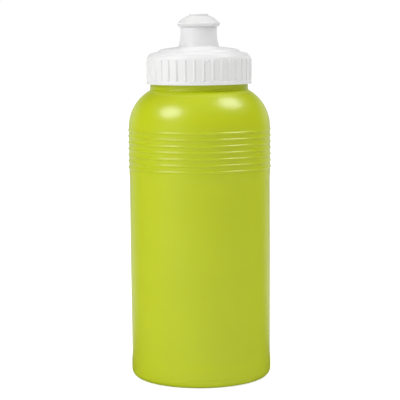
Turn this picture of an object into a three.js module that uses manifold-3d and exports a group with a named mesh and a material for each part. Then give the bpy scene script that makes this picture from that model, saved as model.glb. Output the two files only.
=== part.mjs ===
// A child's squeeze water bottle: a blow-moulded bottle with a grip of seven rings, a ribbed screw
// cap with a round chimney, and a push-pull spout that slides in the chimney over a fixed valve post.
// Millimetres, +Z up. The origin is the centre of the base, on the plane that the bottle stands on.
// Heights on the bottle are above its base, heights on the cap and the valve post are above the lower
// edge of the cap's skirt, and heights on the spout are above the lower end of its sleeve.

import * as THREE from "three";
import { mergeVertices } from "three/addons/utils/BufferGeometryUtils.js";
import Module from "manifold-3d";

const wasm = await Module();
wasm.setup();

// ---- Driving dimensions ----

const segments = { large: 40, small: 32, rib: 6 }; // facets round a full turn

const base = {
  standingInner: 27, // the flat ring that the bottle stands on starts here
  stepRadius: 25, // foot of the slope round the raised middle
  stepHeight: 1.2,
  pushUp: 3.4, // how far the very middle is raised
  cornerRadius: 3.8,
  bandRadius: 36.2, // the band over the corner, a little prouder than the panel
  bandTop: 8.5,
};

const wall = 1.2;
const baseWall = 1.5;

const panel = { bottom: 12, middle: 60, top: 104, lowRadius: 35.95, radius: 36.15 };

const grip = { rings: 7, radius: 36.3, crestRadius: 36.75, topRing: 128.4, pitch: 3.2, ringWidth: 1.3 };

const shoulder = { radius: 21.2, centreRadius: 15.1, centreHeight: 130, filletRadius: 1.2 };

const neck = {
  boreRadius: 22.7,
  collarRadius: 25.1, // the smooth band that shows under the cap
  collarTop: 152.4,
  wallRadius: 23.9, // between the turns of the thread
  top: 164.8,
  edge: 0.35,
};

const thread = {
  lead: 5,
  turns: 1.5,
  start: 154.3, // middle of the bottle's thread at its lower end
  crestRadius: 25.1, // on the bottle
  capCrestRadius: 24.15, // in the cap
  rootHalfWidth: 1.1,
  crestHalfWidth: 0.55,
  flankOffset: 1.9, // from the bottle's turn down to the cap's turn under it
  capStartDegrees: 150, // the cap's thread starts this far round, clear of the collar
  fadeDegrees: 36, // each end grows out of the wall over this angle
  endShare: 0.15, // of its full depth, at the very end
  buried: 0.3, // how far it reaches into the wall that carries it
};

const cap = {
  bottom: 152, // height of the skirt's edge above the base
  innerRadius: 25.35,
  skirtRadius: 26.6,
  rimRadius: 27.15,
  rimHeight: 2.1,
  edge: 0.3,
  cornerRadius: 3.6,
  cornerHeight: 12.2, // centre of the rounded shoulder
  ledgeRadius: 21.4, // foot of the low step round the plateau
  ledgeHeight: 16.2,
  plateauRadius: 20,
  plateauEdge: 17.2,
  plateauInner: 14.5,
  plateauTop: 18.85,
  ceiling: 14.4, // underside, over the gasket
  recessRadius: 19.3, // inside it the underside is higher
  recessCeiling: 15.9,
};

const rib = { count: 36, radius: 0.55, top: 12.4 };

const chimney = {
  baseRadius: 10.4,
  waistRadius: 9.4, // it flares out below this height
  waistHeight: 25.5,
  topRadius: 9.35,
  top: 28.75,
  edge: 0.4,
  boreRadius: 8.6,
  lipRadius: 8.25, // the inward lip that keeps the spout in
  lipHeight: 1,
};

const gasket = { innerRadius: 22.6, outerRadius: 25, thickness: 1.2, gap: 0.2 };

const post = {
  bottom: 14.6,
  flangeRadius: 11.2,
  flangeTop: 15.7,
  collarRadius: 8.35,
  collarTop: 19.35,
  boreRadius: 7.1,
  edge: 0.3,
  legs: 4,
  legWidth: 1.3,
  legHeight: 2,
  pinBaseRadius: 2.5,
  pinRadius: 2.1,
  plugRadius: 2.45,
  plugLength: 2.6,
  plugChamfer: 0.45,
  tip: 34.9,
};

const spout = {
  bottom: 19.6, // of its sleeve, above the cap's edge, when it is pushed shut
  sleeveRadius: 8.1,
  boreRadius: 6.8,
  beadRadius: 8.45,
  beadTop: 1.7,
  flangeRadius: 11.05, // at its widest
  flangeHeight: 10.5,
  flangeFootRadius: 10.4,
  flangeBottom: 9.35, // its underside stops just over the chimney
  edge: 0.4,
  domeRadius: 6, // where the dome meets the foot of the lip
  domeTop: 14.6,
  domeBulge: 0.2, // how far the dome's side stands out from a straight cone
  lipRadius: 5,
  top: 15.8,
  holeRadius: 2.65,
  holeRim: 15.1,
  roof: 13.6, // underside of the drinking end
};

// ---- Shape helpers ----

// Points of an arc in the [radius, height] plane. An angle of 0 points outwards and 90 points up.
function arc(centreRadius, centreHeight, radius, fromDegrees, toDegrees, steps) {
  return Array.from({ length: steps + 1 }, (_, i) => {
    const angle = THREE.MathUtils.degToRad(fromDegrees + ((toDegrees - fromDegrees) * i) / steps);
    return [centreRadius + radius * Math.cos(angle), centreHeight + radius * Math.sin(angle)];
  });
}

// Turns a closed outline of [radius, height] points round the Z axis. The outline runs anticlockwise.
function revolve(outline, facets) {
  const points = outline.map(([radius, height]) => new THREE.Vector2(radius, height));
  return new THREE.LatheGeometry(points, facets).rotateX(Math.PI / 2);
}

function solid(geometry) {
  const bare = geometry.clone();
  bare.deleteAttribute("normal");
  bare.deleteAttribute("uv");
  const merged = mergeVertices(bare, 1e-4);
  return new wasm.Manifold(
    new wasm.Mesh({
      numProp: 3,
      vertProperties: merged.attributes.position.array,
      triVerts: new Uint32Array(merged.index.array),
    }),
  );
}

function joined(geometries) {
  const [first, ...others] = geometries.map(solid);
  const whole = others.reduce((sum, piece) => sum.add(piece), first);
  const { vertProperties, triVerts } = whole.getMesh();
  return new THREE.BufferGeometry()
    .setAttribute("position", new THREE.BufferAttribute(vertProperties, 3))
    .setIndex(new THREE.BufferAttribute(triVerts, 1));
}

// A right-hand thread: a bar wound round the Z axis. It stands on a wall of rootRadius and is narrower
// at its crest, and it grows out of the wall at both ends.
function threadBar({ rootRadius, crestRadius, rootHalfWidth, crestHalfWidth, start, startDegrees }) {
  const steps = Math.round(thread.turns * segments.large);
  const bar = new THREE.BoxGeometry(1, 1, 1, 1, steps, 1);
  const corners = bar.attributes.position;
  const pointsOut = crestRadius > rootRadius;
  for (let i = 0; i < corners.count; i++) {
    const turned = (corners.getY(i) + 0.5) * thread.turns;
    const fromEnd = 360 * Math.min(turned, thread.turns - turned);
    const depth = Math.min(1, thread.endShare + fromEnd / thread.fadeDegrees);
    const atCrest = corners.getX(i) > 0 === pointsOut;
    const radius = atCrest
      ? THREE.MathUtils.lerp(rootRadius, crestRadius, depth)
      : rootRadius + thread.buried * (pointsOut ? -1 : 1);
    const halfWidth = atCrest ? crestHalfWidth : rootHalfWidth;
    const angle = THREE.MathUtils.degToRad(startDegrees) + 2 * Math.PI * turned;
    const height = start + thread.lead * turned + 2 * halfWidth * corners.getZ(i);
    corners.setXYZ(i, radius * Math.cos(angle), radius * Math.sin(angle), height);
  }
  return bar;
}

// ---- Parts ----

function gripRings() {
  const half = grip.ringWidth / 2;
  return Array.from({ length: grip.rings }, (_, i) => {
    const height = grip.topRing - (grip.rings - 1 - i) * grip.pitch;
    return [
      [grip.radius, height - half],
      [grip.crestRadius, height],
      [grip.radius, height + half],
    ];
  }).flat();
}

// The raised middle of the base, from the axis outwards.
function pushUpCrown(lift) {
  const steps = 4;
  return Array.from({ length: steps + 1 }, (_, i) => {
    const share = i / steps;
    const height = THREE.MathUtils.lerp(base.pushUp, base.stepHeight, share * share);
    return [base.stepRadius * share, height + lift];
  });
}

function shoulderAndCollar() {
  const reach = shoulder.radius + shoulder.filletRadius;
  const across = neck.collarRadius + shoulder.filletRadius - shoulder.centreRadius;
  const degrees = THREE.MathUtils.radToDeg(Math.acos(across / reach));
  const filletHeight = shoulder.centreHeight + Math.sqrt(reach ** 2 - across ** 2);
  const filletCentre = neck.collarRadius + shoulder.filletRadius;
  return [
    ...arc(shoulder.centreRadius, shoulder.centreHeight, shoulder.radius, 0, degrees, 8),
    ...arc(filletCentre, filletHeight, shoulder.filletRadius, 180 + degrees, 180, 3).slice(1),
  ];
}

function bottleBody() {
  const innerShoulder = shoulder.radius - wall;
  const boreDegrees = THREE.MathUtils.radToDeg(
    Math.acos((neck.boreRadius - shoulder.centreRadius) / innerShoulder),
  );
  const cornerCentre = base.bandRadius - base.cornerRadius;
  const innerLow = panel.lowRadius - wall;
  const outline = [
    ...pushUpCrown(0),
    [base.standingInner, 0],
    ...arc(cornerCentre, base.cornerRadius, base.cornerRadius, -90, 0, 4),
    [base.bandRadius, base.bandTop],
    [panel.lowRadius, panel.bottom],
    [panel.radius, panel.middle],
    [panel.radius, panel.top],
    ...gripRings(),
    ...shoulderAndCollar(),
    [neck.collarRadius, neck.collarTop],
    [neck.wallRadius, neck.collarTop + 0.5],
    [neck.wallRadius, neck.top - neck.edge],
    [neck.wallRadius - neck.edge, neck.top],
    [neck.boreRadius + neck.edge, neck.top],
    [neck.boreRadius, neck.top - neck.edge],
    ...arc(shoulder.centreRadius, shoulder.centreHeight, innerShoulder, boreDegrees, 0, 6),
    [panel.radius - wall, panel.middle],
    [innerLow, panel.bottom],
    ...arc(innerLow - wall, base.cornerRadius + wall, wall, 0, -90, 2),
    ...pushUpCrown(baseWall).reverse(),
  ];
  const turns = threadBar({
    rootRadius: neck.wallRadius,
    crestRadius: thread.crestRadius,
    rootHalfWidth: thread.rootHalfWidth,
    crestHalfWidth: thread.crestHalfWidth,
    start: thread.start,
    startDegrees: 0,
  });
  return joined([revolve(outline, segments.large), turns]);
}

// The soft ring between the neck's rim and the cap's ceiling.
function sealingGasket() {
  const bottom = neck.top + gasket.gap;
  const top = bottom + gasket.thickness;
  const outline = [
    [gasket.innerRadius, bottom],
    [gasket.outerRadius, bottom],
    [gasket.outerRadius, top],
    [gasket.innerRadius, top],
    [gasket.innerRadius, bottom],
  ];
  return revolve(outline, segments.large);
}

// The hollow curve from the plateau up to the chimney's waist.
function chimneyFlare() {
  const foot = new THREE.Vector2(chimney.baseRadius, cap.plateauTop);
  const waist = new THREE.Vector2(chimney.waistRadius, chimney.waistHeight);
  const pull = new THREE.Vector2(chimney.waistRadius, (cap.plateauTop + chimney.waistHeight) / 2);
  return new THREE.QuadraticBezierCurve(foot, pull, waist).getPoints(3).map(({ x, y }) => [x, y]);
}

function capOuter() {
  const cornerCentre = cap.skirtRadius - cap.cornerRadius;
  const edgeCentre = [chimney.topRadius - chimney.edge, chimney.top - chimney.edge];
  return [
    [cap.innerRadius, 0],
    [cap.rimRadius - cap.edge, 0],
    [cap.rimRadius, cap.edge],
    [cap.rimRadius, cap.rimHeight - cap.edge],
    [cap.skirtRadius, cap.rimHeight],
    ...arc(cornerCentre, cap.cornerHeight, cap.cornerRadius, 0, 90, 5),
    [cap.ledgeRadius, cap.ledgeHeight],
    [cap.plateauRadius + 2 * cap.edge, cap.plateauEdge - cap.edge],
    [cap.plateauRadius, cap.plateauEdge],
    [cap.plateauInner, cap.plateauTop - 2 * cap.edge],
    ...chimneyFlare(),
    ...arc(...edgeCentre, chimney.edge, 0, 90, 2),
  ];
}

function capInner() {
  const lipBottom = chimney.top - chimney.lipHeight;
  return [
    [chimney.lipRadius, chimney.top],
    [chimney.lipRadius, lipBottom],
    [chimney.boreRadius, lipBottom],
    [chimney.boreRadius, cap.recessCeiling],
    [cap.recessRadius, cap.recessCeiling],
    [cap.recessRadius, cap.ceiling],
    [cap.innerRadius - cap.edge, cap.ceiling],
    [cap.innerRadius, cap.ceiling - cap.edge],
    [cap.innerRadius, 0],
  ];
}

function gripRibs() {
  const foot = cap.rimHeight - cap.edge;
  const height = rib.top - foot;
  return Array.from({ length: rib.count }, (_, i) =>
    new THREE.CylinderGeometry(rib.radius, rib.radius, height, segments.rib)
      .rotateX(Math.PI / 2)
      .translate(cap.skirtRadius, 0, foot + height / 2)
      .rotateZ(((i + 0.5) * 2 * Math.PI) / rib.count),
  );
}

function screwCap() {
  const startTurn = thread.capStartDegrees / 360;
  const turns = threadBar({
    rootRadius: cap.innerRadius,
    crestRadius: thread.capCrestRadius,
    rootHalfWidth: thread.rootHalfWidth,
    crestHalfWidth: thread.crestHalfWidth,
    start: thread.start - thread.flankOffset + thread.lead * startTurn - cap.bottom,
    startDegrees: thread.capStartDegrees,
  });
  return joined([revolve([...capOuter(), ...capInner()], segments.large), turns, ...gripRibs()]);
}

// The pin that plugs the spout, on legs in a ring that is pressed into the chimney from below.
function valvePost() {
  const ring = [
    [post.boreRadius, post.bottom],
    [post.flangeRadius - post.edge, post.bottom],
    [post.flangeRadius, post.bottom + post.edge],
    [post.flangeRadius, post.flangeTop],
    [post.collarRadius, post.flangeTop],
    [post.collarRadius, post.collarTop - post.edge],
    [post.collarRadius - post.edge, post.collarTop],
    [post.boreRadius, post.collarTop],
    [post.boreRadius, post.bottom],
  ];
  const plugBottom = post.tip - post.plugLength;
  const pin = [
    [0, post.bottom],
    [post.pinBaseRadius, post.bottom],
    [post.pinRadius, plugBottom - 0.8],
    [post.plugRadius, plugBottom],
    [post.plugRadius, post.tip - post.plugChamfer],
    [post.plugRadius - post.plugChamfer, post.tip],
    [0, post.tip],
  ];
  const legLength = post.boreRadius + 0.3;
  const legs = Array.from({ length: post.legs }, (_, i) =>
    new THREE.BoxGeometry(legLength, post.legWidth, post.legHeight)
      .translate(legLength / 2, 0, post.bottom + post.legHeight / 2)
      .rotateZ(((i + 0.5) * 2 * Math.PI) / post.legs),
  );
  return joined([revolve(ring, segments.small), revolve(pin, segments.small), ...legs]);
}

function pushPullSpout() {
  const foot = new THREE.Vector2(spout.flangeRadius - 0.1, spout.flangeHeight + spout.edge);
  const crown = new THREE.Vector2(spout.domeRadius, spout.domeTop);
  const outward = new THREE.Vector2(crown.y - foot.y, foot.x - crown.x).normalize();
  const pull = foot.clone().lerp(crown, 0.5).addScaledVector(outward, 2 * spout.domeBulge);
  const dome = new THREE.QuadraticBezierCurve(foot, pull, crown);
  const outline = [
    [spout.boreRadius, 0],
    [spout.sleeveRadius, 0],
    [spout.beadRadius, spout.edge],
    [spout.beadRadius, spout.beadTop - 0.2],
    [spout.sleeveRadius, spout.beadTop],
    [spout.sleeveRadius, spout.flangeBottom],
    [spout.flangeFootRadius, spout.flangeBottom],
    [spout.flangeRadius, spout.flangeHeight],
    ...dome.getPoints(4).map(({ x, y }) => [x, y]),
    [spout.lipRadius, spout.domeTop],
    [spout.lipRadius, spout.top - spout.edge],
    [spout.lipRadius - spout.edge, spout.top],
    [spout.holeRadius + spout.edge, spout.top],
    [spout.holeRadius, spout.holeRim],
    [spout.holeRadius, spout.roof],
    [spout.boreRadius, spout.flangeHeight],
    [spout.boreRadius, 0],
  ];
  return revolve(outline, segments.small);
}

// ---- Assembly ----

const limePlastic = new THREE.MeshStandardMaterial({ color: 0xb4c420, roughness: 0.35, metalness: 0 });
const whitePlastic = new THREE.MeshStandardMaterial({ color: 0xf1f1ef, roughness: 0.3, metalness: 0 });
const spoutPlastic = new THREE.MeshStandardMaterial({ color: 0xe9e9e7, roughness: 0.3, metalness: 0 });
const gasketRubber = new THREE.MeshStandardMaterial({ color: 0xdadad4, roughness: 0.6, metalness: 0 });

function part(name, geometry, material, height = 0) {
  const mesh = new THREE.Mesh(geometry, material);
  mesh.name = name;
  mesh.position.z = height;
  return mesh;
}

const capGroup = new THREE.Group();
capGroup.position.z = cap.bottom;
capGroup.add(
  part("screw_cap", screwCap(), whitePlastic),
  part("valve_post", valvePost(), whitePlastic),
  part("push_pull_spout", pushPullSpout(), spoutPlastic, spout.bottom),
);

const waterBottle = new THREE.Group();
waterBottle.add(
  part("bottle_body", bottleBody(), limePlastic),
  part("sealing_gasket", sealingGasket(), gasketRubber),
  capGroup,
);

export default waterBottle;
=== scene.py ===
"""A lime squeeze bottle with a white screw cap and push-pull spout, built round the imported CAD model.

Outlines are in millimetres, as (radius, height) points turned round the bottle's axis, and
their places come from the boxes of the CAD nodes. Blender's own units are metres.
"""

import math

import bpy
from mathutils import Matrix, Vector


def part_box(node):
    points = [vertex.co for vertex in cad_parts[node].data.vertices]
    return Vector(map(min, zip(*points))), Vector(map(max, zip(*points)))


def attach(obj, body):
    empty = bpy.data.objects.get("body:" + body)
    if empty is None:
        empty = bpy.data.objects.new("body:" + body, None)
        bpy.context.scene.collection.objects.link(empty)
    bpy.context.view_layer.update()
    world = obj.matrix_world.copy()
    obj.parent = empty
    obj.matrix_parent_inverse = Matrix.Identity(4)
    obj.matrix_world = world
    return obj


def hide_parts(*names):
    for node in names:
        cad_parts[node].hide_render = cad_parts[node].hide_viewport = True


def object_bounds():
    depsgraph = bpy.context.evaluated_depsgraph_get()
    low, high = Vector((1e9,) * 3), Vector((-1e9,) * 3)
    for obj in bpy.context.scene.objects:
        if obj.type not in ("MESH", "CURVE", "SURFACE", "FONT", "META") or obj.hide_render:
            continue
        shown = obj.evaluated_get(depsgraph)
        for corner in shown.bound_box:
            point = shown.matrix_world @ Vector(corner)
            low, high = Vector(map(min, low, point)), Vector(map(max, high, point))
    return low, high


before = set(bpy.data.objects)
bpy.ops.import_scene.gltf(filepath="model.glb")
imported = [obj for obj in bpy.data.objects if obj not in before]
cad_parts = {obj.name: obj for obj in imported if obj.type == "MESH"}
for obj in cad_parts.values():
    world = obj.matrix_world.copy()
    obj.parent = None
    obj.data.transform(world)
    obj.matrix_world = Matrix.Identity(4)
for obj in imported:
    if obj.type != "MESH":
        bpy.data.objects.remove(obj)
CAD_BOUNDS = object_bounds()

MM = 0.001
TURN = 2 * math.pi
ON_AXIS = 1e-6  # a point with a smaller radius lies on the axis

BODY_LOW, BODY_HIGH = (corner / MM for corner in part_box("bottle_body"))
CAP_LOW, CAP_HIGH = (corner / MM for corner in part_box("screw_cap"))
GASKET_LOW, GASKET_HIGH = (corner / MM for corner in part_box("sealing_gasket"))
POST_LOW, POST_HIGH = (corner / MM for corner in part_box("valve_post"))
SPOUT_LOW, SPOUT_HIGH = (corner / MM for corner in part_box("push_pull_spout"))

# ---- Outline and mesh helpers ----


def arc(centre_radius, centre_height, radius, start, stop, steps):
    """Points of an arc. An angle of 0 degrees points outwards and 90 points up."""
    points = []
    for i in range(steps + 1):
        angle = math.radians(start + (stop - start) * i / steps)
        points.append((centre_radius + radius * math.cos(angle), centre_height + radius * math.sin(angle)))
    return points


def rounded(corners, support=0.25):
    """An outline from (radius, height, fillet) corners: each fillet becomes an arc. Points close to
    both ends of an arc keep the shading of the straight stretches flat."""
    points = []
    last = len(corners) - 1
    for i, (radius, height, fillet) in enumerate(corners):
        corner = Vector((radius, height))
        if fillet == 0 or i in (0, last):
            points.append(tuple(corner))
            continue
        back = Vector(corners[i - 1][:2]) - corner
        ahead = Vector(corners[i + 1][:2]) - corner
        half = back.angle(ahead) / 2
        reach = fillet / math.tan(half)
        centre = corner + (back.normalized() + ahead.normalized()).normalized() * fillet / math.sin(half)
        start = corner + back.normalized() * reach
        stop = corner + ahead.normalized() * reach
        if back.length > reach + 2 * support:
            points.append(tuple(start + back.normalized() * support))
        spoke = start - centre
        sweep = spoke.angle_signed(stop - centre)
        steps = max(3, math.ceil(abs(math.degrees(sweep)) / 12))
        for k in range(steps + 1):
            turned = -sweep * k / steps
            x = spoke.x * math.cos(turned) - spoke.y * math.sin(turned)
            y = spoke.x * math.sin(turned) + spoke.y * math.cos(turned)
            points.append((centre.x + x, centre.y + y))
        if ahead.length > reach + 2 * support:
            points.append(tuple(stop + ahead.normalized() * support))
    return points


def straight(start, stop, step):
    """Points between two ends, about step apart, without the ends."""
    start, stop = Vector(start), Vector(stop)
    count = max(1, round((stop - start).length / step))
    return [tuple(start.lerp(stop, k / count)) for k in range(1, count)]


def bezier(start, pull, stop, share):
    """A point of a quadratic Bezier curve."""
    first = Vector(start).lerp(Vector(pull), share)
    second = Vector(pull).lerp(Vector(stop), share)
    return tuple(first.lerp(second, share))


def bell(distance, half_width, flat=0.0):
    """1 at distance 0, falling smoothly to 0 at half_width. Within flat it stays 1."""
    share = (half_width - abs(distance)) / (half_width - flat)
    share = min(1.0, max(0.0, share))
    return share * share * (3 - 2 * share)


def even_columns(count):
    return [TURN * i / count for i in range(count)]


def columns_with(count, centres, offsets):
    """Evenly spaced angles, with more of them close to each centre, at offsets in radians."""
    nearest = max(abs(offset) for offset in offsets)
    extra = [(centre + offset) % TURN for centre in centres for offset in offsets]

    def away(angle):
        return min(abs(math.remainder(angle - centre, TURN)) for centre in centres)

    kept = [angle for angle in even_columns(count) if away(angle) > nearest * 1.2]
    return sorted(kept + extra)


def link(name, data):
    """A new object with this data, in the scene."""
    piece = bpy.data.objects.new(name, data)
    bpy.context.scene.collection.objects.link(piece)
    return piece


def turned_mesh(name, outline, columns, relief=None):
    """An object made by turning an outline round the axis. It closes on itself, or starts and ends
    on the axis. relief(angle, radius, height) gives how far a point moves outwards and upwards."""
    vertices, rows = [], []
    for radius, height in outline:
        if radius < ON_AXIS:
            rows.append([len(vertices)] * len(columns))
            vertices.append((0.0, 0.0, height * MM))
            continue
        rows.append(list(range(len(vertices), len(vertices) + len(columns))))
        for angle in columns:
            outwards, upwards = relief(angle, radius, height) if relief else (0.0, 0.0)
            reach = (radius + outwards) * MM
            vertices.append((reach * math.cos(angle), reach * math.sin(angle), (height + upwards) * MM))
    if outline[0][0] > ON_AXIS:
        rows.append(rows[0])
    faces = []
    for low, high in zip(rows, rows[1:]):
        for k in range(len(columns)):
            after = (k + 1) % len(columns)
            face = dict.fromkeys((low[k], low[after], high[after], high[k]))
            faces.append(tuple(face))
    mesh = bpy.data.meshes.new(name)
    mesh.from_pydata(vertices, [], faces)
    mesh.validate()
    mesh.shade_smooth()
    return link(name, mesh)


def place(piece, body, node, material):
    """Gives a piece its material and its moving body, and hides the CAD node that it stands for."""
    piece.data.materials.append(material)
    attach(piece, body)
    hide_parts(node)
    return piece


# ---- Materials ----

NOISE_LOW, NOISE_HIGH = 0.35, 0.65  # most values of a noise lie between these


def grey(tone):
    return (tone, tone, tone, 1.0)


class Nodes:
    """A material's node tree, with short ways to add and join nodes."""

    def __init__(self, name):
        self.material = bpy.data.materials.new(name)
        self.material.use_nodes = True
        self.tree = self.material.node_tree
        self.shader = self.tree.nodes["Principled BSDF"]
        self.place = self.tree.nodes.new("ShaderNodeTexCoord").outputs["Object"]

    def add(self, kind, **inputs):
        node = self.tree.nodes.new(kind)
        for key, value in inputs.items():
            self.feed(node.inputs[key.replace("_", " ")], value)
        return node

    def feed(self, socket, value):
        if isinstance(value, bpy.types.NodeSocket):
            self.tree.links.new(value, socket)
        else:
            socket.default_value = value

    def noise(self, scale, detail=3.0):
        """scale is in cells a metre."""
        node = self.add("ShaderNodeTexNoise", Vector=self.place, Scale=scale, Detail=detail)
        node.inputs["Roughness"].default_value = 0.55
        return node.outputs["Fac"]

    def spread(self, value, low, high):
        """Maps the middle of a noise to low to high."""
        node = self.add("ShaderNodeMapRange", Value=value)
        node.inputs["From Min"].default_value = NOISE_LOW
        node.inputs["From Max"].default_value = NOISE_HIGH
        node.inputs["To Min"].default_value = low
        node.inputs["To Max"].default_value = high
        return node.outputs["Result"]

    def mix(self, share, first, second):
        node = self.tree.nodes.new("ShaderNodeMix")
        node.data_type = "RGBA"
        self.feed(node.inputs["Factor"], share)
        self.feed(node.inputs["A"], first)
        self.feed(node.inputs["B"], second)
        return node.outputs["Result"]

    def bump(self, height, distance):
        """distance is the height in metres of the tallest bump."""
        return self.add("ShaderNodeBump", Height=height, Distance=distance).outputs["Normal"]


def lime_plastic():
    """Satin, slightly wavy and cloudy, with a little light spreading under the surface."""
    nodes = Nodes("lime_polyethylene")
    shader = nodes.shader
    cloud = nodes.spread(nodes.noise(38.0, 2.0), 0.0, 1.0)
    colour = nodes.mix(cloud, (0.505, 0.585, 0.003, 1.0), (0.492, 0.571, 0.002, 1.0))
    nodes.feed(shader.inputs["Base Color"], colour)
    nodes.feed(shader.inputs["Roughness"], nodes.spread(nodes.noise(30.0, 1.0), 0.28, 0.3))
    nodes.feed(shader.inputs["Normal"], nodes.bump(nodes.noise(45.0, 1.0), 0.00006))
    shader.inputs["IOR"].default_value = 1.51
    shader.inputs["Specular IOR Level"].default_value = 0.92
    shader.inputs["Subsurface Weight"].default_value = 0.1
    shader.inputs["Subsurface Radius"].default_value = (0.7, 1.0, 0.4)
    shader.inputs["Subsurface Scale"].default_value = 0.0012
    return nodes.material


def white_plastic(name, tone, shade, roughness, glow):
    """Its clouds go from tone to shade. glow is how much of the light spreads under the surface."""
    nodes = Nodes(name)
    shader = nodes.shader
    cloud = nodes.spread(nodes.noise(55.0, 2.0), 0.0, 1.0)
    nodes.feed(shader.inputs["Base Color"], nodes.mix(cloud, grey(tone), grey(shade)))
    sheen = nodes.spread(nodes.noise(40.0, 1.0), roughness, roughness + 0.03)
    nodes.feed(shader.inputs["Roughness"], sheen)
    nodes.feed(shader.inputs["Normal"], nodes.bump(nodes.noise(1700.0, 2.0), 0.000003))
    shader.inputs["IOR"].default_value = 1.49
    shader.inputs["Subsurface Weight"].default_value = glow
    shader.inputs["Subsurface Radius"].default_value = (1.0, 1.0, 0.9)
    shader.inputs["Subsurface Scale"].default_value = 0.0015
    return nodes.material


def gasket_rubber():
    nodes = Nodes("gasket_rubber")
    shader = nodes.shader
    speck = nodes.spread(nodes.noise(900.0), 0.0, 1.0)
    colour = nodes.mix(speck, (0.72, 0.71, 0.68, 1.0), (0.66, 0.65, 0.62, 1.0))
    nodes.feed(shader.inputs["Base Color"], colour)
    nodes.feed(shader.inputs["Roughness"], nodes.spread(nodes.noise(500.0), 0.55, 0.68))
    nodes.feed(shader.inputs["Normal"], nodes.bump(nodes.noise(2400.0, 2.0), 0.00002))
    return nodes.material


LIME = lime_plastic()
WHITE = white_plastic("white_polypropylene", tone=0.775, shade=0.76, roughness=0.30, glow=0.15)
SOFT_WHITE = white_plastic("white_spout_polyethylene", tone=0.725, shade=0.71, roughness=0.34, glow=0.8)
RUBBER = gasket_rubber()

# ---- The thread ----

LEAD = 5.0
THREAD_TURNS = 1.5
THREAD_START = BODY_HIGH.z - 10.5  # the middle of the bottle's thread at its lower end
FLANK_OFFSET = 1.9  # the cap's thread lies this far under the bottle's
CAP_THREAD_ANGLE = math.radians(150)
THREAD_FADE = 0.1  # of a turn, over which each end grows out of the wall
THREAD_HALF_WIDTH = 1.15
THREAD_HALF_CREST = 0.45


def thread_height(angle, height, start_angle, start_height):
    """How much of its full depth the thread has at a point, from 0 to 1."""
    most = 0.0
    behind = (angle - start_angle) % TURN / TURN
    for turned in (behind, behind + 1):
        from_end = min(turned, THREAD_TURNS - turned)
        if from_end > 0:
            aside = height - start_height - LEAD * turned
            depth = bell(aside, THREAD_HALF_WIDTH, THREAD_HALF_CREST)
            most = max(most, depth * min(1.0, from_end / THREAD_FADE))
    return most


# ---- Bottle ----

GRIP_RADIUS = BODY_HIGH.x - 0.45
PANEL_RADIUS = GRIP_RADIUS - 0.15
PANEL_LOW_RADIUS = GRIP_RADIUS - 0.35
BAND_RADIUS = GRIP_RADIUS - 0.1
TOP_RING = BODY_HIGH.z - 36.4
RING_PITCH = 3.2
RING_COUNT = 7
RING_HEIGHT = BODY_HIGH.x - GRIP_RADIUS
RING_HALF_WIDTH = 0.85
RING_EASE = 0.3  # the first straight stretch beside a ring

SHOULDER = {"radius": 21.2, "centre": 15.1, "height": BODY_HIGH.z - 34.8, "fillet": 0.3}
NECK_BEAD_RADIUS = 0.36  # of the half-round bead at the foot of the collar
NECK_BEAD_SUNK = 0.06  # how far the bead's centre lies inside the collar's surface

COLLAR_RADIUS = 25.1
COLLAR_TOP = BODY_HIGH.z - 12.4
NECK_RADIUS = 23.9
BORE_RADIUS = 22.7
WALL = 1.2
CREASE_HEIGHT = 4.3  # where the mould's base plate meets its walls
CREASE_DEPTH = 0.1

SEAM = {"height": 0.06, "half_width": 0.28}  # the fine line where the mould's halves met
PINCH = {"height": 0.55, "half_width": 0.7, "half_crest": 0.1, "half_length": 17, "half_level": 13}


def grip_rows():
    """The outline of the seven softly raised rings and the straight bands between them."""
    rows = []
    steps = 12
    for ring in range(RING_COUNT):
        middle = TOP_RING - (RING_COUNT - 1 - ring) * RING_PITCH
        for k in range(steps + 1):
            offset = RING_HALF_WIDTH * (2 * k / steps - 1)
            rise = RING_HEIGHT * (1 + math.cos(math.pi * offset / RING_HALF_WIDTH)) / 2
            rows.append((GRIP_RADIUS + rise, middle + offset))
        rows.append((GRIP_RADIUS, middle + RING_HALF_WIDTH + RING_EASE))
    return rows[:-1]


def shoulder_rows():
    """The round shoulder, its small fillet into the neck's collar, and the bead above the fillet."""
    reach = SHOULDER["radius"] + SHOULDER["fillet"]
    fillet_centre = COLLAR_RADIUS + SHOULDER["fillet"]
    across = fillet_centre - SHOULDER["centre"]
    angle = math.degrees(math.acos(across / reach))
    fillet_height = SHOULDER["height"] + math.sqrt(reach**2 - across**2)
    dome = arc(SHOULDER["centre"], SHOULDER["height"], SHOULDER["radius"], 0, angle, 44)
    fillet = arc(fillet_centre, fillet_height, SHOULDER["fillet"], 180 + angle, 180, 4)[1:]
    bead_height = fillet_height + 0.9 * NECK_BEAD_RADIUS
    bead = arc(COLLAR_RADIUS - NECK_BEAD_SUNK, bead_height, NECK_BEAD_RADIUS, -78, 78, 12)
    return dome + fillet + bead + [(COLLAR_RADIUS, bead_height + NECK_BEAD_RADIUS + 0.1)]


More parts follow.
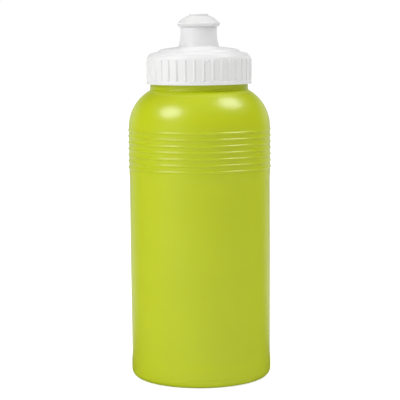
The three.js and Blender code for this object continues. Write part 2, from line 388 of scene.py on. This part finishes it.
def bottle_outline():
    """From the middle of the raised base, up the outside, over the rim and down the inside."""
    ring_foot = TOP_RING - (RING_COUNT - 1) * RING_PITCH - RING_HALF_WIDTH
    base = rounded(
        [
            (0, 3.4, 0),
            (10, 3.2, 0),
            (18, 2.4, 4),
            (24.2, 1.5, 1.2),
            (25.6, 0, 0.5),
            (BAND_RADIUS, 0, 3.8),
            (BAND_RADIUS, CREASE_HEIGHT, 0),
        ]
    )
    crease = [
        (BAND_RADIUS - CREASE_DEPTH, CREASE_HEIGHT + 0.18),
        (BAND_RADIUS, CREASE_HEIGHT + 0.4),
    ]
    wall = rounded(
        [
            (BAND_RADIUS, CREASE_HEIGHT + 0.7, 0),
            (BAND_RADIUS, 8.5, 6),
            (PANEL_LOW_RADIUS, 12, 6),
            (PANEL_RADIUS, 60, 0),
            (PANEL_RADIUS, 103.5, 3),
            (GRIP_RADIUS, 105.5, 3),
            (GRIP_RADIUS, ring_foot - RING_EASE, 0),
        ]
    )
    neck = rounded(
        [
            (COLLAR_RADIUS, COLLAR_TOP - 1.5, 0),
            (COLLAR_RADIUS, COLLAR_TOP, 0.3),
            (NECK_RADIUS, COLLAR_TOP + 0.5, 0.3),
            (NECK_RADIUS, COLLAR_TOP + 1, 0),
        ]
    )
    finish = straight((NECK_RADIUS, COLLAR_TOP + 1), (NECK_RADIUS, BODY_HIGH.z - 1), 0.2)
    rim = rounded(
        [
            (NECK_RADIUS, BODY_HIGH.z - 1, 0),
            (NECK_RADIUS, BODY_HIGH.z, 0.3),
            (BORE_RADIUS, BODY_HIGH.z, 0.3),
            (BORE_RADIUS, BODY_HIGH.z - 6, 0),
        ]
    )
    inner_radius = SHOULDER["radius"] - WALL
    bore_angle = math.degrees(math.acos((BORE_RADIUS - SHOULDER["centre"]) / inner_radius))
    inside = arc(SHOULDER["centre"], SHOULDER["height"], inner_radius, bore_angle, 0, 20)
    floor = rounded(
        [
            (PANEL_RADIUS - WALL, 60, 0),
            (PANEL_LOW_RADIUS - WALL, 12, 0),
            (PANEL_LOW_RADIUS - WALL, 1.5, 2),
            (25.5, 1.6, 1),
            (24, 3.0, 1),
            (12, 4.5, 6),
            (0, 4.9, 0),
        ]
    )
    return base + crease + wall + grip_rows() + shoulder_rows() + neck + finish + rim + inside + floor


def bottle_relief(angle, radius, height):
    """The neck's thread, the mould's seam, and the ridge pinched off across the raised base."""
    outwards = upwards = 0.0
    if height > COLLAR_TOP and NECK_RADIUS - 0.1 < radius < COLLAR_RADIUS:
        full = COLLAR_RADIUS - NECK_RADIUS
        outwards += full * thread_height(angle, height, 0.0, THREAD_START)
    elif 0 < height < COLLAR_TOP and radius > PANEL_LOW_RADIUS - 0.3:
        aside = radius * abs(math.remainder(angle, math.pi))
        outwards += SEAM["height"] * bell(aside, SEAM["half_width"])
    elif radius < 22 and height < 3.45:
        across = bell(radius * abs(math.sin(angle)), PINCH["half_width"], PINCH["half_crest"])
        along = bell(radius * abs(math.cos(angle)), PINCH["half_length"], PINCH["half_level"])
        upwards -= PINCH["height"] * across * along
    return outwards, upwards


def make_bottle():
    beside_seam = [0.0025 * k for k in range(-4, 5)]
    columns = columns_with(220, (0.0, math.pi), beside_seam)
    piece = turned_mesh("squeeze_bottle", bottle_outline(), columns, bottle_relief)
    return place(piece, "bottle", "bottle_body", LIME)


# ---- Cap ----

SKIRT_INNER = 25.35
SKIRT_RADIUS = CAP_HIGH.x - 0.55
RIM_RADIUS = CAP_HIGH.x
RIM_HEIGHT = 1.75
RIB_COUNT = 36
RIB_TOP = 12.4
RIB_HALF_WIDTH = 0.55
RIB_DEPTH = 0.5
RIB_END = 0.6  # how much of a rib's length its rounded upper end takes
CORNER_RADIUS = 3.6
CORNER_HEIGHT = 12.2
PLATEAU = 18.85
CHIMNEY_TOP = CAP_HIGH.z - CAP_LOW.z
CHIMNEY_WAIST = 6.65  # above the plateau; the chimney flares out below it
CHIMNEY_RADIUS = 9.35
CEILING = 14.4
RECESS_CEILING = 15.9
PIP_ANGLE = math.radians(279.4)  # a moulded dot between two ribs, a little right of the front
PIP_HEIGHT = 11.95
PIP_RADIUS = 0.5
PIP_RISE = 0.5
GROOVE_DEGREES = 40  # a fine groove round the rounded shoulder, up from its lower end
GROOVE = ((-4.5, 0.01), (-3, 0.09), (-1, 0.15), (1, 0.15), (3, 0.09), (4.2, 0.02))  # degrees, depth
CAP_THREAD_DEPTH = 1.2
CAP_THREAD_LOW, CAP_THREAD_HIGH = 1, 12.5  # the heights between which the skirt's inside is threaded


def cap_outline():
    """Up the outside to the chimney's top, and down inside. Heights are above the skirt's lower edge."""
    rim = rounded(
        [
            (SKIRT_INNER, 0.5, 0),
            (SKIRT_INNER, -0.2, 0.15),
            (RIM_RADIUS, -0.2, 0.22),
            (RIM_RADIUS, 0.3, 0.2),
            (RIM_RADIUS - 0.22, 0.42, 0.1),
            (RIM_RADIUS - 0.16, RIM_HEIGHT - 0.65, 0.15),
            (SKIRT_RADIUS, RIM_HEIGHT, 0.2),
            (SKIRT_RADIUS, RIM_HEIGHT + 1, 0),
        ],
        0.08,
    )
    ribs = straight((SKIRT_RADIUS, RIM_HEIGHT + 1), (SKIRT_RADIUS, RIB_TOP - 0.8), 1.5)
    rib_ends = straight((SKIRT_RADIUS, RIB_TOP - 1.2), (SKIRT_RADIUS, CORNER_HEIGHT - 0.05), 0.12)
    centre = (SKIRT_RADIUS - CORNER_RADIUS, CORNER_HEIGHT)
    corner = arc(*centre, CORNER_RADIUS, 0, GROOVE_DEGREES - 6, 20)
    for turned, depth in GROOVE:
        degrees = GROOVE_DEGREES + turned
        corner += arc(*centre, CORNER_RADIUS - depth, degrees, degrees, 1)[:1]
    corner += arc(*centre, CORNER_RADIUS, GROOVE_DEGREES + 5, 84, 12)
    flare_foot = (10.4, PLATEAU)
    flare_pull = (9.4, PLATEAU + CHIMNEY_WAIST / 2)
    flare_top = (9.4, PLATEAU + CHIMNEY_WAIST)
    flare = [bezier(flare_foot, flare_pull, flare_top, k / 10) for k in range(11)]
    top = rounded(
        [
            (22.4, 15.88, 0),
            (21.3, 16.1, 0.6),
            (20.4, 17.1, 1.0),
            (18.4, 17.65, 5),
            (14.5, 18.25, 8),
            (10.8, PLATEAU - 0.2, 0.5),
            (10.42, PLATEAU - 0.02, 0),
        ]
    )
    chimney = rounded(
        [
            (9.38, PLATEAU + CHIMNEY_WAIST + 0.3, 0),
            (CHIMNEY_RADIUS, CHIMNEY_TOP, 0.2),
            (8.25, CHIMNEY_TOP, 0.15),
            (8.25, CHIMNEY_TOP - 1, 0.1),
            (8.6, CHIMNEY_TOP - 1.1, 0.1),
            (8.6, RECESS_CEILING, 0.3),
            (19.3, RECESS_CEILING, 0.3),
            (19.5, CEILING, 0.2),
            (SKIRT_INNER, CEILING, 0.4),
            (SKIRT_INNER, CAP_THREAD_HIGH, 0),
        ]
    )
    thread = straight((SKIRT_INNER, CAP_THREAD_HIGH), (SKIRT_INNER, CAP_THREAD_LOW), 0.33)
    outline = rim + ribs + rib_ends + corner + top + flare + chimney + thread
    return [(radius, CAP_LOW.z + height) for radius, height in outline]


def cap_relief(angle, radius, height):
    """The ribs on the skirt, a small round pip between two of them, and the inner thread."""
    above = height - CAP_LOW.z
    pitch = TURN / RIB_COUNT
    if radius > SKIRT_RADIUS - 0.2 and above > RIM_HEIGHT:
        aside = radius * abs(math.remainder(angle - pitch / 2, pitch))
        into_end = max(0.0, (above - RIB_TOP + RIB_END) / RIB_END)
        round_end = math.sqrt(max(0.0, 1 - into_end**2))
        across = math.sqrt(max(0.0, 1 - (aside / RIB_HALF_WIDTH) ** 2))
        from_pip = math.hypot(radius * math.remainder(angle - PIP_ANGLE, TURN), above - PIP_HEIGHT)
        pip = PIP_RISE * math.sqrt(max(0.0, 1 - (from_pip / PIP_RADIUS) ** 2))
        return RIB_DEPTH * across * round_end + pip, 0.0
    if abs(radius - SKIRT_INNER) < 0.01 and CAP_THREAD_LOW < above < CAP_THREAD_HIGH:
        start = THREAD_START - FLANK_OFFSET + LEAD * CAP_THREAD_ANGLE / TURN
        return -CAP_THREAD_DEPTH * thread_height(angle, height, CAP_THREAD_ANGLE, start), 0.0
    return 0.0, 0.0


def make_cap():
    pitch = TURN / RIB_COUNT
    centres = [pitch * (k + 0.5) for k in range(RIB_COUNT)]
    shares = (-1.5, -1.02, -0.94, -0.6, 0, 0.6, 0.94, 1.02, 1.5)  # of a rib's half width
    columns = columns_with(72, centres, [RIB_HALF_WIDTH / SKIRT_RADIUS * share for share in shares])
    pip_step = 0.09
    columns += [PIP_ANGLE + k * pip_step / SKIRT_RADIUS for k in range(-6, 7) if k != 0]
    columns.sort()
    piece = turned_mesh("screw_cap_moulding", cap_outline(), columns, cap_relief)
    return place(piece, "cap", "screw_cap", WHITE)


# ---- Gasket, valve post and spout ----


def make_gasket():
    inner, outer = 22.6, GASKET_HIGH.x
    bottom, top = GASKET_LOW.z, GASKET_HIGH.z
    outline = rounded(
        [
            (inner, bottom + 0.6, 0),
            (inner, bottom, 0.25),
            (outer, bottom, 0.35),
            (outer, top, 0.35),
            (inner, top, 0.25),
            (inner, bottom + 0.61, 0),
        ],
        0.1,
    )
    piece = turned_mesh("gasket_ring", outline, even_columns(160))
    return place(piece, "gasket", "sealing_gasket", RUBBER)


def make_spout():
    """The sleeve with its snap bead, the flange, the dome, and the lip round the drinking hole.
    Heights are above the lower end of the sleeve."""
    top = SPOUT_HIGH.z - SPOUT_LOW.z
    flange = SPOUT_HIGH.x
    sleeve = rounded(
        [
            (6.8, 5, 0),
            (6.8, 0, 0.2),
            (8.1, 0, 0.2),
            (8.45, 0.5, 0.2),
            (8.45, 1.5, 0.2),
            (8.1, 1.8, 0.3),
            (8.1, 9.3, 0.15),
            (10.1, 9.2, 0.2),
            (flange + 0.05, 10.8, 0.25),
            (flange - 0.1, 11.2, 0.15),
            (10.6, 11.35, 0),
        ],
        0.12,
    )
    dome_foot, dome_crown = (10.5, 11.42), (6.1, 14.65)
    dome = [bezier(dome_foot, (8.8, 13.3), dome_crown, k / 12) for k in range(13)]
    lip = rounded(
        [
            (5.95, 14.72, 0),
            (5.7, 14.68, 0.1),
            (5.2, 14.5, 0.12),
            (5.05, 14.8, 0.1),
            (4.95, top, 0.3),
            (3.3, top, 0.5),
            (2.65, 15.0, 0.3),
            (2.65, 13.6, 0.2),
            (3.2, 13.3, 0.4),
            (6.8, 10.9, 1),
            (6.8, 5.01, 0),
        ],
        0.08,
    )
    placed = [(radius, SPOUT_LOW.z + height) for radius, height in sleeve + dome + lip]
    piece = turned_mesh("mouthpiece", placed, even_columns(128))
    return place(piece, "spout", "push_pull_spout", SOFT_WHITE)


def make_post():
    """The ring and the pin of the valve post, and the legs between them. Heights are above its foot."""
    top = POST_HIGH.z - POST_LOW.z
    collar = 4.35
    ring = rounded(
        [
            (7.1, 2, 0),
            (7.1, 0, 0.25),
            (POST_HIGH.x, 0, 0.3),
            (POST_HIGH.x, 1.1, 0.2),
            (8.35, 1.1, 0.1),
            (8.35, collar, 0.3),
            (7.1, collar, 0.2),
            (7.1, 2.01, 0),
        ],
        0.1,
    )
    pin = rounded(
        [
            (0, 0, 0),
            (2.5, 0, 0.3),
            (2.1, top - 3.4, 0.5),
            (2.45, top - 2.6, 0.3),
            (2.45, top, 0.45),
            (0, top, 0),
        ],
        0.1,
    )
    placed_ring = [(radius, POST_LOW.z + height) for radius, height in ring]
    placed_pin = [(radius, POST_LOW.z + height) for radius, height in pin]
    whole = turned_mesh("valve_post_moulding", placed_ring, even_columns(128))
    cut = [turned_mesh("pin", placed_pin, even_columns(64))]
    for k in range(4):
        cut.append(leg(POST_LOW.z, TURN * (k + 0.5) / 4))
    for part in cut:
        unite(whole, part)
    return place(whole, "cap", "valve_post", WHITE)


def leg(bottom, angle):
    """One leg of the valve post: a bar from the pin to the ring, rounded along its edges."""
    length, half_width, height, edge = 7.3, 0.65, 2.0, 0.25
    lift = 0.02  # keeps its underside off the ring's
    section = []
    for y, z, start in (
        (half_width - edge, edge, -90),
        (half_width - edge, height - edge, 0),
        (edge - half_width, height - edge, 90),
        (edge - half_width, edge, 180),
    ):
        section += arc(y, z, edge, start, start + 90, 4)
    vertices = []
    for x in (1.0, length):
        for y, z in section:
            turned_x = x * math.cos(angle) - y * math.sin(angle)
            turned_y = x * math.sin(angle) + y * math.cos(angle)
            vertices.append((turned_x * MM, turned_y * MM, (bottom + lift + z) * MM))
    count = len(section)
    faces = [tuple(reversed(range(count))), tuple(range(count, 2 * count))]
    for k in range(count):
        after = (k + 1) % count
        faces.append((k, after, count + after, count + k))
    mesh = bpy.data.meshes.new("leg")
    mesh.from_pydata(vertices, [], faces)
    return link("leg", mesh)


def unite(whole, part):
    """Joins part to whole as one closed solid, and removes part."""
    union = whole.modifiers.new("union", "BOOLEAN")
    union.operation = "UNION"
    union.solver = "EXACT"
    union.object = part
    bpy.context.view_layer.objects.active = whole
    bpy.ops.object.modifier_apply(modifier=union.name)
    bpy.data.objects.remove(part)


make_bottle()
make_cap()
make_gasket()
make_post()
make_spout()

# ---- Studio ----

CENTRE = Vector((0, 0, CAD_BOUNDS[1].z / 2))

# A bright sheet stands behind the bottle, and only glossy surfaces see it.
SHEET_FROM, SHEET_FULL = 0.48, 0.78  # how far back a direction points, from -1 to 1
SHEET_TOP, SHEET_GONE = 0.15, 0.45  # how far up a direction points where the sheet fades out
SHEET_LIGHT = 0.6
ROOM_LIGHT = 0.035
ABOVE_SHEET = 0.05  # share of the light left over the sheet

TENT_FROM, TENT_FULL = 0.2, 1.0  # how far up a direction points, as matt surfaces are lit
TENT_LOW_LIGHT, TENT_TOP_LIGHT = 0.28, 0.93
TENT_SEEN = 1.02

FLOOR_REACH = 6.0
FLOOR_SEEN = 0.62
FLOOR_MIRRORED = 0.08
FLOOR_GLOW = 0.12
FLOOR_GLOW_SEEN = 0.75

LENS = 133.9
CAMERA_PLACE = (0, -0.766, 0.1802)
LOOKS_DOWN, LOOKS_RIGHT = 6.6, 0.47  # degrees


def soft_box(name, azimuth, elevation, distance, size, power, mirrored=True):
    """An oval soft light that faces the bottle. Azimuth 0 is in front and turns to the right.
    Glossy surfaces mirror the light, or see nothing of it."""
    light = bpy.data.lights.new(name, "AREA")
    light.shape = "ELLIPSE"
    light.size, light.size_y = size
    light.energy = power
    holder = link(name, light)
    turn, lift = math.radians(azimuth), math.radians(elevation)
    away = Vector((math.sin(turn) * math.cos(lift), -math.cos(turn) * math.cos(lift), math.sin(lift)))
    holder.location = CENTRE + away * distance
    holder.rotation_euler = away.to_track_quat("Z", "Y").to_euler()
    holder.visible_glossy = mirrored


def floor_paper():
    """Pale paper. The eye sees it glow white, it gives matt surfaces a little light from below, and
    glossy ones see it dark in front and bright behind, as the foot of the sheet."""
    nodes = Nodes("floor_paper")
    rays = nodes.add("ShaderNodeLightPath")
    eye, glossy = rays.outputs["Is Camera Ray"], rays.outputs["Is Glossy Ray"]
    tone = nodes.spread(nodes.noise(3.0), 0.0, 1.0)
    paper = nodes.mix(tone, grey(0.93), grey(0.92))
    lit = nodes.mix(eye, paper, grey(FLOOR_SEEN))
    away = nodes.add("ShaderNodeVectorMath")
    away.operation = "NORMALIZE"
    nodes.feed(away.inputs[0], nodes.place)
    apart = nodes.add("ShaderNodeSeparateXYZ", Vector=away.outputs["Vector"])
    behind = nodes.add("ShaderNodeMapRange", Value=apart.outputs["Y"])
    behind.interpolation_type = "SMOOTHSTEP"
    behind.inputs["From Min"].default_value = SHEET_FROM
    behind.inputs["From Max"].default_value = SHEET_FULL
    mirrored = nodes.mix(behind.outputs["Result"], grey(FLOOR_MIRRORED), grey(SHEET_LIGHT))
    nodes.feed(nodes.shader.inputs["Base Color"], nodes.mix(glossy, lit, mirrored))
    nodes.shader.inputs["Roughness"].default_value = 0.9
    nodes.shader.inputs["Specular IOR Level"].default_value = 0.0
    nodes.shader.inputs["Emission Color"].default_value = grey(1.0)
    glow = nodes.add("ShaderNodeMapRange", Value=eye)
    glow.inputs["To Min"].default_value = FLOOR_GLOW
    glow.inputs["To Max"].default_value = FLOOR_GLOW_SEEN
    unmirrored = nodes.add("ShaderNodeMath")
    unmirrored.operation = "MULTIPLY_ADD"
    nodes.feed(unmirrored.inputs[0], glossy)
    nodes.feed(unmirrored.inputs[1], -FLOOR_GLOW)
    nodes.feed(unmirrored.inputs[2], glow.outputs["Result"])
    nodes.feed(nodes.shader.inputs["Emission Strength"], unmirrored.outputs[0])
    return nodes.material


def make_floor():
    mesh = bpy.data.meshes.new("floor")
    signs = ((-1, -1), (1, -1), (1, 1), (-1, 1))
    corners = [(x * FLOOR_REACH, y * FLOOR_REACH, CAD_BOUNDS[0].z) for x, y in signs]
    mesh.from_pydata(corners, [], [(0, 1, 2, 3)])
    mesh.materials.append(floor_paper())
    link("floor", mesh)


def make_world():
    """A white tent. The eye sees it white all round, matt surfaces are lit softly and more from above,
    and glossy ones mirror a dark room with a bright sheet behind the bottle."""
    world = bpy.data.worlds.new("studio")
    bpy.context.scene.world = world
    world.use_nodes = True
    tree = world.node_tree
    tree.nodes.clear()
    place_in = tree.nodes.new("ShaderNodeTexCoord").outputs["Generated"]
    apart = tree.nodes.new("ShaderNodeSeparateXYZ")
    tree.links.new(place_in, apart.inputs[0])
    rays = tree.nodes.new("ShaderNodeLightPath")

    def ramp(axis, low, high, start, stop):
        """Goes smoothly from start to stop as a direction's part along the axis goes from low to high."""
        node = tree.nodes.new("ShaderNodeMapRange")
        node.interpolation_type = "SMOOTHSTEP"
        tree.links.new(apart.outputs[axis], node.inputs["Value"])
        for key, value in (("From Min", low), ("From Max", high), ("To Min", start), ("To Max", stop)):
            node.inputs[key].default_value = value
        return node.outputs["Result"]

    def choose(share, first, second):
        """first where share is 0, and second where it is 1."""
        node = tree.nodes.new("ShaderNodeMix")
        tree.links.new(share, node.inputs["Factor"])
        for key, value in (("A", first), ("B", second)):
            if isinstance(value, float):
                node.inputs[key].default_value = value
            else:
                tree.links.new(value, node.inputs[key])
        return node.outputs["Result"]

    sheet = tree.nodes.new("ShaderNodeMath")
    sheet.operation = "MULTIPLY"
    tree.links.new(ramp("Y", SHEET_FROM, SHEET_FULL, ROOM_LIGHT, SHEET_LIGHT), sheet.inputs[0])
    tree.links.new(ramp("Z", SHEET_TOP, SHEET_GONE, 1.0, ABOVE_SHEET), sheet.inputs[1])
    tent = ramp("Z", TENT_FROM, TENT_FULL, TENT_LOW_LIGHT, TENT_TOP_LIGHT)
    lit = choose(rays.outputs["Is Glossy Ray"], tent, sheet.outputs[0])
    back = tree.nodes.new("ShaderNodeBackground")
    back.inputs["Color"].default_value = grey(1.0)
    tree.links.new(choose(rays.outputs["Is Camera Ray"], lit, TENT_SEEN), back.inputs["Strength"])
    out = tree.nodes.new("ShaderNodeOutputWorld")
    tree.links.new(back.outputs[0], out.inputs["Surface"])


def make_camera():
    """A long lens from a little above the bottle's top, looking slightly down."""
    data = bpy.data.cameras.new("camera")
    data.lens = LENS
    data.clip_start = 0.01
    data.clip_end = 50
    camera = link("camera", data)
    camera.location = CAMERA_PLACE
    camera.rotation_mode = "ZXY"
    camera.rotation_euler = (math.radians(90 - LOOKS_DOWN), 0, math.radians(-LOOKS_RIGHT))
    bpy.context.scene.camera = camera


make_floor()
make_world()
soft_box("key_light", azimuth=-57, elevation=41, distance=0.95, size=(0.55, 0.44), power=3.1)
soft_box("side_light", azimuth=89, elevation=57, distance=0.95, size=(0.56, 0.44), power=2.7)
soft_box("side_fill", azimuth=96, elevation=48, distance=1, size=(0.8, 0.6), power=1.2, mirrored=False)
soft_box("fill_light", azimuth=-45, elevation=6, distance=1, size=(0.8, 0.8), power=2, mirrored=False)
make_camera()
bpy.context.scene.view_settings.view_transform = "Standard"
